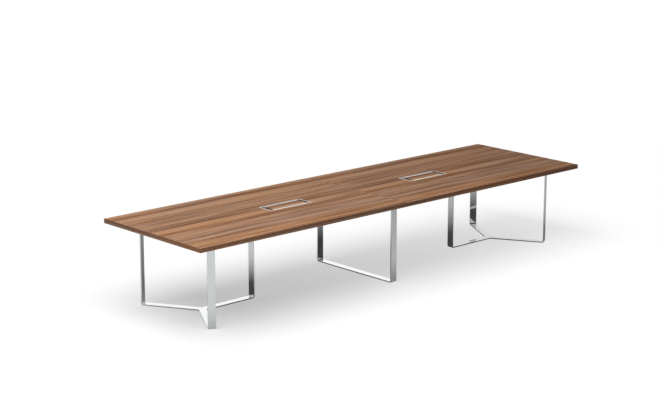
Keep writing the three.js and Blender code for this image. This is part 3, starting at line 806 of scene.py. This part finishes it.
def turned(shape, place, profile, sides=48):
    """Adds a solid of revolution. The profile holds (radius, height, lobe) and starts and ends at 0."""
    rings = []
    for radius, height, lobe in profile[1:-1]:
        ring = []
        for side in range(sides):
            angle = 2 * math.pi * side / sides
            r = radius * (1 + lobe * math.cos(LOBES * angle))
            ring.append(shape.verts.new(place @ Vector((r * math.cos(angle), r * math.sin(angle), height))))
        rings.append(ring)
    poles = [shape.verts.new(place @ Vector((0, 0, profile[i][1]))) for i in (0, -1)]
    for side in range(sides):
        after = (side + 1) % sides
        shape.faces.new((poles[0], rings[0][side], rings[0][after]))
        shape.faces.new((poles[1], rings[-1][after], rings[-1][side]))
        for here, above in zip(rings, rings[1:]):
            shape.faces.new((here[side], above[side], above[after], here[after]))


def quarter_round(radius, height, rounding, steps=5):
    """Profile points round an outer edge, from below to the side."""
    turns = [math.radians(90 * step / steps) for step in range(steps + 1)]
    inner = radius - rounding
    return [(inner + rounding * math.sin(t), height + rounding * (1 - math.cos(t)), 0.0) for t in turns]


print("turned parts: a recess gets", LOBES, "lobes")

# %% Glides
GLIDE_ROUNDING = 1 * MM
GROOVE_DEPTH = 0.4 * MM
GROOVE_HEIGHT = 1.9 * MM  # of its middle above the floor
GROOVE_HALF = 0.3 * MM
glide_low, glide_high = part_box("centre_front_glide")
glide_radius = (glide_high.x - glide_low.x) / 2
glide_top = glide_high.z
glide_profile = [(0.0, 0.0, 0.0)] + quarter_round(glide_radius, 0.0, GLIDE_ROUNDING)
glide_profile.append((glide_radius, GROOVE_HEIGHT - GROOVE_HALF, 0.0))
glide_profile.append((glide_radius - GROOVE_DEPTH, GROOVE_HEIGHT, 0.0))
glide_profile.append((glide_radius, GROOVE_HEIGHT + GROOVE_HALF, 0.0))
glide_profile += [(glide_radius, glide_top, 0.0), (0.0, glide_top, 0.0)]
for name in arms:
    glide = bmesh.new()
    turned(glide, Matrix.Translation(middle_of(name + "_glide") * Vector((1, 1, 0))), glide_profile)
    add_piece(name + "_glide_disc", glide, "black_plastic", stands_for=[name + "_glide"])
print("glides:", len(arms), "of radius", round(glide_radius / MM), "mm")

# %% [markdown]
# ## Eased copies
# CAD edges are perfectly sharp, and nothing real is. Sheet is deburred, extrusions leave the die with a
# tiny radius, moulded parts need one. A knife edge also catches no light, so a sharp model looks like
# paper. Where the CAD shape is right, the piece is a copy of it: its triangles are joined into whole
# faces again, and a bevel rounds each edge by the amount that suits how the piece is made.

# %% Eased copies
WELD = 0.002 * MM
FLAT = math.radians(0.3)


def whole_faced(node_name):
    """A CAD node's shape as a bmesh, with its triangles joined into whole faces."""
    shape = bmesh.new()
    shape.from_mesh(frame["nodes"][node_name].data)
    bmesh.ops.remove_doubles(shape, verts=shape.verts, dist=WELD)
    bmesh.ops.dissolve_limit(shape, angle_limit=FLAT, verts=shape.verts, edges=shape.edges)
    return shape


def ease(shape, rounding, clamp=True):
    """Rounds every hard edge."""
    hard = [edge for edge in shape.edges if edge.calc_face_angle(0.0) > CREASE]
    bmesh.ops.bevel(shape, geom=hard, offset=rounding, offset_type="OFFSET", segments=2, profile=0.5,
                    affect="EDGES", clamp_overlap=clamp)


def add_eased(node_name, rounding, clamp=True):
    """Puts an eased copy in a CAD node's place."""
    shape = whole_faced(node_name)
    if rounding:
        ease(shape, rounding, clamp)
    body = frame["nodes"][node_name]["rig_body"]
    return add_piece(node_name + "_eased", shape, slot_of[node_name], body, [node_name])


PLATE_EASE = 0.6 * MM  # deburred 5 mm plate
plates = [name + "_leg_plate" for name in arms] + ["seam_joining_plate"]
for name in plates:
    add_eased(name, PLATE_EASE)
print("plates:", len(plates), "eased by", PLATE_EASE / MM, "mm")

# %% [markdown]
# ## Screws
# The plates are screwed up into the top with zinc-plated pan-head screws, and so are the cable trays.
# Their heads look down at the floor. Each has a six-lobed recess, which is the turned profile pushed in
# and out six times on its way round. Screws that hold one plate are joined into one piece.

# %% Screws
HEAD_RADIUS = 4.75 * MM
HEAD_HEIGHT = 3.0 * MM
HEAD_FLAT = 2.4 * MM  # radius of the flat end, round the recess
RECESS_RADIUS = 1.75 * MM
RECESS_DEPTH = 1.8 * MM
RECESS_TAPER = 0.9  # of the radius, at the bottom
RECESS_RIM = 0.1 * MM  # how far the rim of the recess is dished in
LOBE = 0.16  # how far the recess swings in and out, as a share of its radius
SHANK_RADIUS = 2.5 * MM
SCREW_SIDES = 36
SCREW_INSET = 14 * MM  # of a plate's holes from its edges


def screw_profile(shank_length):
    """A pan head below height 0, and a shank above it."""
    profile = [(0.0, RECESS_DEPTH - HEAD_HEIGHT, 0.0)]
    profile.append((RECESS_TAPER * RECESS_RADIUS, RECESS_DEPTH - HEAD_HEIGHT, LOBE))
    profile.append((RECESS_RADIUS, RECESS_RIM - HEAD_HEIGHT, LOBE))
    rounding = HEAD_RADIUS - HEAD_FLAT
    profile += quarter_round(HEAD_RADIUS, -HEAD_HEIGHT, rounding)
    profile.append((HEAD_RADIUS, 0.0, 0.0))
    if shank_length:
        profile += [(SHANK_RADIUS, 0.0, 0.0), (SHANK_RADIUS, shank_length, 0.0)]
    profile.append((0.0, shank_length, 0.0))
    return profile


def add_screws(name, places, shank_length):
    """One piece that holds a screw at each place."""
    screws = bmesh.new()
    profile = screw_profile(shank_length)
    for place in places:
        turned(screws, Matrix.Translation(place), profile, SCREW_SIDES)
    add_piece(name, screws, "steel_rod", materials=[zinc])


def plate_corners(half_length, half_width):
    """The holes of a plate about its own middle."""
    x = half_length - SCREW_INSET
    y = half_width - SCREW_INSET
    return [Vector((x * i, y * j, 0.0)) for i in (-1, 1) for j in (-1, 1)]


def half_size(node_name):
    """Half of a CAD node's box along each axis."""
    low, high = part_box(node_name)
    return (high - low) / 2


plate_thickness = 2 * half_size("seam_joining_plate").z
star_plate = half_size("left_inner_leg_plate")
centre_plate = half_size("centre_front_leg_plate")
for name, (place, _) in arms.items():
    half_width = centre_plate.x if name.startswith("centre") else star_plate.y
    middle = middle_of(name + "_leg_plate") - Vector((0, 0, plate_thickness / 2))
    turn = place.to_3x3()
    holes = [middle + turn @ corner for corner in plate_corners(star_plate.x, half_width)]
    add_screws(name + "_plate_screws", holes, plate_thickness)
joining = half_size("seam_joining_plate")
middle = middle_of("seam_joining_plate") - Vector((0, 0, plate_thickness / 2))
holes = [middle + corner for corner in plate_corners(joining.x, joining.y)]
add_screws("joining_plate_screws", holes, plate_thickness)
print("screws:", 4 * (len(arms) + 1), "in the plates")

# %% [markdown]
# ## Top and edge bands
# The half tops are flat boards, and the CAD shape is already right. A copy of each takes the walnut
# finish, and the backing on its lower face. The seam bands and the dowels, which are out of sight, stay
# as they are and only take their finish. The bands along the outer edges have rounded arrises and
# corners. In CAD these are made of narrow flats, which an unbevelled copy turns into smooth roundings.

# %% Top and edge bands
FACING = 0.9  # share of a normal along an axis, from which a face looks that way


def dress(node_name):
    """Gives a CAD node that stays the finish of its slot."""
    materials = frame["nodes"][node_name].data.materials
    materials.clear()
    materials.append(finishes[slot_of[node_name]])


def face_otherwise(piece, material, chosen):
    """Gives another finish to the faces whose normal is chosen."""
    piece.data.materials.append(material)
    for face in piece.data.polygons:
        face.material_index = int(chosen(face.normal))


kept = [side + "_seam_band" for side in ("left", "right")]
kept += ["seam_dowel_" + place for place in ("front", "middle", "rear")]
for name in kept:
    dress(name)
for side in ("left", "right"):
    board = add_eased(side + "_top_panel", 0.0)
    face_otherwise(board, backing, lambda normal: normal.z < -FACING)
bands = [side + "_" + edge + "_band" for side in ("left", "right") for edge in ("end", "front", "rear")]
for name in bands:
    add_eased(name, 0.0)
print("top: 2 boards,", len(kept), "nodes kept,", len(bands), "bands smoothed")

# %% [markdown]
# ## Cable box frames
# A frame of aluminium profile lines each cable opening. It is made from four lengths cut at 45 degrees,
# and the hairline mitres at its corners are what tell a mitred frame from a cast one. The CAD frame is
# one ring, so each length is a copy of the ring that two slanting planes cut back to one side. They meet
# beyond the far side of so long a ring, so a third plane down its middle removes what they leave there.
# The cuts are then closed, and the edges eased.
#
# The walls of the opening are faced with black plastic, and so are the lid's ends. The black is painted
# shade: it makes the cable slots at the two ends show as dark lines between the bright profiles.

# %% Cable box frames
MITRE_HAIRLINE = 0.15 * MM
PROFILE_EASE = 0.3 * MM


def cut_back(shape, point, normal):
    """Removes what lies past a plane, and closes the cut."""
    geometry = shape.verts[:] + shape.edges[:] + shape.faces[:]
    bmesh.ops.bisect_plane(shape, geom=geometry, plane_co=point, plane_no=normal, clear_outer=True)
    rim = [edge for edge in shape.edges if edge.is_boundary]
    bmesh.ops.holes_fill(shape, edges=rim, sides=0)


def add_mitred_frame(node_name):
    """Puts four mitred lengths in the place of a CAD frame."""
    low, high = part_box(node_name)
    corners = [Vector((low.x, low.y, 0)), Vector((high.x, low.y, 0))]
    corners += [Vector((high.x, high.y, 0)), Vector((low.x, high.y, 0))]
    lengths = bmesh.new()
    for side in range(4):
        shape = whole_faced(node_name)
        start = corners[side]
        end = corners[(side + 1) % 4]
        way = (end - start).normalized()
        inward = Vector((-way.y, way.x, 0))
        cut_back(shape, start + way * MITRE_HAIRLINE / 2, (inward - way).normalized())
        cut_back(shape, end - way * MITRE_HAIRLINE / 2, (inward + way).normalized())
        cut_back(shape, (low + high) / 2, inward)
        ease(shape, PROFILE_EASE)
        bmesh.ops.dissolve_degenerate(shape, dist=WELD, edges=shape.edges)
        for face in shape.faces:
            # Painted shade: faces that look into the opening take black plastic, which darkens the cable
            # slots.
            face.material_index = 2 if face.normal.dot(inward) > FACING else side % 2
        part = bpy.data.meshes.new("length")
        shape.to_mesh(part)
        shape.free()
        lengths.from_mesh(part)
        bpy.data.meshes.remove(part)
    materials = [aluminium["x"], aluminium["y"], black_plastic]
    add_piece(node_name + "_mitred", lengths, slot_of[node_name], "table", [node_name], materials)


for side in ("left", "right"):
    add_mitred_frame(side + "_box_frame")
print("box frames: 4 lengths each, eased by", PROFILE_EASE / MM, "mm")

# %% [markdown]
# ## Lids
# A lid is a strip of the same walnut board between two aluminium rails. The front rail rests on a
# rubber strip, and the rear rail turns on a steel rod. The board is sawn and sanded, so its edges are
# eased least. Its two ends are faced with black plastic, which is painted shade for the slots they
# face. The lids ride on bodies of their own and turn with them.

# %% Lids
BOARD_EASE = 0.2 * MM
ROD_EASE = 0.4 * MM
RUBBER_EASE = 0.3 * MM
eases = {
    "_lid_front_rail": PROFILE_EASE,
    "_lid_hinge_rail": PROFILE_EASE,
    "_hinge_rod": ROD_EASE,
    "_rest_strip": RUBBER_EASE,
}
for side in ("left", "right"):
    for part, rounding in eases.items():
        add_eased(side + part, rounding)
    board = add_eased(side + "_lid_board", BOARD_EASE)
    # Painted shade: the board's ends take black plastic, which darkens the cable slots.
    face_otherwise(board, black_plastic, lambda normal: abs(normal.x) > FACING)
print("lids: 2, of", len(eases) + 1, "pieces each with rod and rest")

# %% [markdown]
# ## Cable trays
# Under each opening hangs a tray of folded steel sheet, powder coated, with a cable exit at each end.
# Paint rounds the sheet's cut edges a little more than deburring does. Eight screws hold its flange.

# %% Cable trays
SHEET_EASE = 0.5 * MM
FLANGE_MIDDLE = 9 * MM  # of the flange from its outer edge
SHEET = 1.5 * MM
SCREW_SPREAD = 0.8  # of half the flange's length, to the outer screws of a long side
for side in ("left", "right"):
    add_eased(side + "_cable_tray", SHEET_EASE)
    middle = middle_of(side + "_cable_tray")
    half = half_size(side + "_cable_tray") - Vector((FLANGE_MIDDLE, FLANGE_MIDDLE, 0))
    spots = [(x, y) for x in (-SCREW_SPREAD, 0.0, SCREW_SPREAD) for y in (-1, 1)] + [(-1, 0), (1, 0)]
    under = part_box(side + "_cable_tray")[1].z - SHEET
    places = [Vector((middle.x + half.x * x, half.y * y, under)) for x, y in spots]
    add_screws(side + "_tray_screws", places, 0.0)
print("trays: 2, with", len(spots), "screws each")

# %% [markdown]
# ## Sockets
# A strip of three sockets lies in each tray. Its housing is black plastic and its socket cups are grey.
# In every cup two sprung earth contacts stand against the wall, which are strips of plated brass bowed
# inwards. The supply inlet at the strip's outer end has three flat pins. The contacts are sweeps again,
# with a smaller section than the legs.

# %% Socket strips
MOULDED_EASE = 0.4 * MM
SOCKETS = 3
for side in ("left", "right"):
    add_eased(side + "_socket_strip", MOULDED_EASE, clamp=False)
    for number in range(1, SOCKETS + 1):
        add_eased(side + "_socket_" + str(number), MOULDED_EASE, clamp=False)
print("socket strips: 2, with", SOCKETS, "sockets each")

# %% Earth contacts
CLIP_WIDTH = 5 * MM
CLIP_THICKNESS = 0.8 * MM
CLIP_ARRIS = 0.2 * MM
CLIP_HEIGHT = 9 * MM
CLIP_BOW = 2.6 * MM
CLIP_STEPS = 12
CUP_RADIUS = 18.5 * MM
CUP_DEPTH = 10 * MM


def bowed_strip():
    """The stations of a contact that stands against a cup's wall and bows inwards."""
    stations = []
    for step in range(CLIP_STEPS + 1):
        share = step / CLIP_STEPS
        outwards = CUP_RADIUS - CLIP_THICKNESS - CLIP_BOW * math.sin(math.pi * share)
        slope = -CLIP_BOW * math.pi * math.cos(math.pi * share)
        inward = Vector((-CLIP_HEIGHT, 0.0, slope)).normalized()
        stations.append((Vector((outwards, 0.0, CLIP_HEIGHT * share)), inward, 1.0))
    return stations


clip_section = flat_bar_section(CLIP_WIDTH, CLIP_THICKNESS, CLIP_ARRIS)
for side in ("left", "right"):
    clips = bmesh.new()
    for number in range(1, SOCKETS + 1):
        cup = middle_of(side + "_socket_" + str(number))
        cup.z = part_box(side + "_socket_" + str(number))[1].z - CUP_DEPTH
        for turn in (0.0, math.pi):
            place = Matrix.Translation(cup) @ Matrix.Rotation(turn, 4, "Z")
            sweep(clips, place, clip_section, bowed_strip())
    add_piece(side + "_earth_contacts", clips, "steel_rod", materials=[nickel])
print("earth contacts:", 2 * SOCKETS, "in each strip")

# %% Inlet pins
PIN_WIDTH = 4 * MM
PIN_THICKNESS = 2 * MM
PIN_ARRIS = 0.3 * MM
PIN_LENGTH = 14 * MM
PIN_TAPER = 1 * MM  # length of its pointed end
PIN_TIP = 0.6  # size of the tip, as a share of the section
PIN_SPACING = 7 * MM
EARTH_OFFSET = 4 * MM  # the middle pin sits higher
INLET_DEPTH = 16 * MM
pin_section = flat_bar_section(PIN_THICKNESS, PIN_WIDTH, PIN_ARRIS)
pin_sizes = [(0.0, 1.0), (PIN_LENGTH - PIN_TAPER, 1.0), (PIN_LENGTH, PIN_TIP)]
pin_stations = [(Vector((along, 0.0, 0.0)), Vector((0, 0, 1)), scale) for along, scale in pin_sizes]
for side, outwards in (("left", -1), ("right", 1)):
    middle = middle_of(side + "_socket_strip")
    end = middle.x + outwards * (half_size(side + "_socket_strip").x - INLET_DEPTH)
    heading = Matrix.Rotation(0.0 if outwards > 0 else math.pi, 4, "Z")
    pins = bmesh.new()
    for across in (-1, 0, 1):
        height = middle.z + (EARTH_OFFSET if across == 0 else -EARTH_OFFSET) / 2
        root = Vector((end, across * PIN_SPACING, height))
        sweep(pins, Matrix.Translation(root) @ heading, pin_section, pin_stations)
    add_piece(side + "_inlet_pins", pins, "steel_rod", materials=[nickel])
print("inlet pins: 3 in each strip, of", PIN_LENGTH / MM, "mm")
